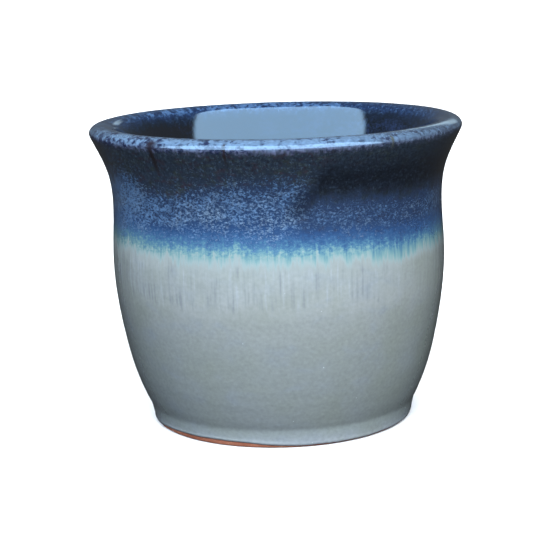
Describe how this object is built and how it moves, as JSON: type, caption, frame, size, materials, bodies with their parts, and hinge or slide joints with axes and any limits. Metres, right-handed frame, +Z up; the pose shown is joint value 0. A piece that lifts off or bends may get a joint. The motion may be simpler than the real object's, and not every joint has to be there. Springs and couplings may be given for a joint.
{
  "type": "flower pot",
  "caption": "Round glazed earthenware flower pot with a flared, rolled lip, a rounded belly, a bare clay foot ring and a drainage hole; blue glaze runs over a grey base coat.",
  "frame": {"origin": "centre of the foot's resting plane", "axes": "+Z up along the pot's axis of revolution, towards the mouth; +X and +Y are any two level directions, because the shape is round"},
  "size_m": [0.3, 0.3, 0.244],
  "materials": {
    "clay": "matte",
    "grey_glaze": "gloss",
    "overlap_glaze": "gloss",
    "blue_glaze": "gloss",
    "liner_glaze": "gloss"
  },
  "bodies": {
    "root": {"clay_body": "clay", "grey_glaze": "grey_glaze", "overlap_glaze": "overlap_glaze", "blue_glaze": "blue_glaze", "liner_glaze": "liner_glaze"}
  },
  "joints": []
}
